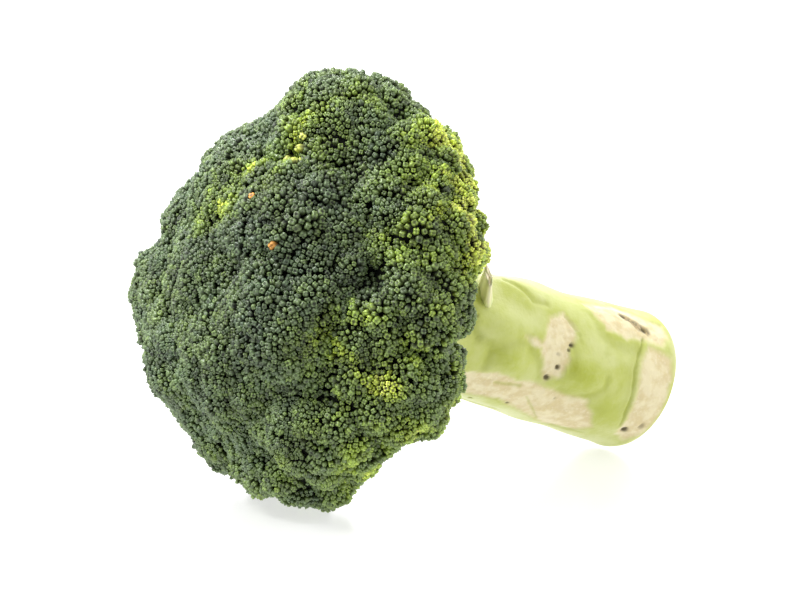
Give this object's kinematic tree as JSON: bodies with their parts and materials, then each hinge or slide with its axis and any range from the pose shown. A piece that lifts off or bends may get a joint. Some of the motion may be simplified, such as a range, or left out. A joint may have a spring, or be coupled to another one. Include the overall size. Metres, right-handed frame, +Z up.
{
  "type": "broccoli head",
  "caption": "Fresh broccoli head lying on its side: a domed crown of florets covered in flower buds, on a thick cut stalk with side branches.",
  "frame": {"origin": "middle of the bounding box, at the surface that the head lies on", "axes": "+X from the crown to the cut end of the stalk, +Y across the head, +Z up from the surface"},
  "size_m": [0.1998, 0.149, 0.1418],
  "materials": {
    "stalk_flesh": "satin",
    "branch_flesh": "satin",
    "buds": "matte",
    "leaf_stub": "satin"
  },
  "bodies": {
    "root": {"stalk": "stalk_flesh", "branch_01": "branch_flesh", "branch_02": "branch_flesh", "branch_03": "branch_flesh", "branch_04": "branch_flesh", "branch_05": "branch_flesh", "branch_06": "branch_flesh", "branch_07": "branch_flesh", "branch_08": "branch_flesh", "branch_09": "branch_flesh", "branch_10": "branch_flesh", "branch_11": "branch_flesh", "branch_12": "branch_flesh", "branch_13": "branch_flesh", "branch_14": "branch_flesh", "branch_15": "branch_flesh", "branch_16": "branch_flesh", "branch_17": "branch_flesh", "branch_18": "branch_flesh", "branch_19": "branch_flesh", "branch_20": "branch_flesh", "branch_21": "branch_flesh", "branch_22": "branch_flesh", "floret_01": "buds", "floret_02": "buds", "floret_03": "buds", "floret_04": "buds", "floret_05": "buds", "floret_06": "buds", "floret_07": "buds", "floret_08": "buds", "floret_09": "buds", "floret_10": "buds", "floret_11": "buds", "floret_12": "buds", "floret_13": "buds", "floret_14": "buds", "floret_15": "buds", "floret_16": "buds", "floret_17": "buds", "floret_18": "buds", "floret_19": "buds", "floret_20": "buds", "floret_21": "buds", "floret_22": "buds", "leaf_stub_01": "leaf_stub", "leaf_stub_02": "leaf_stub"}
  },
  "joints": []
}
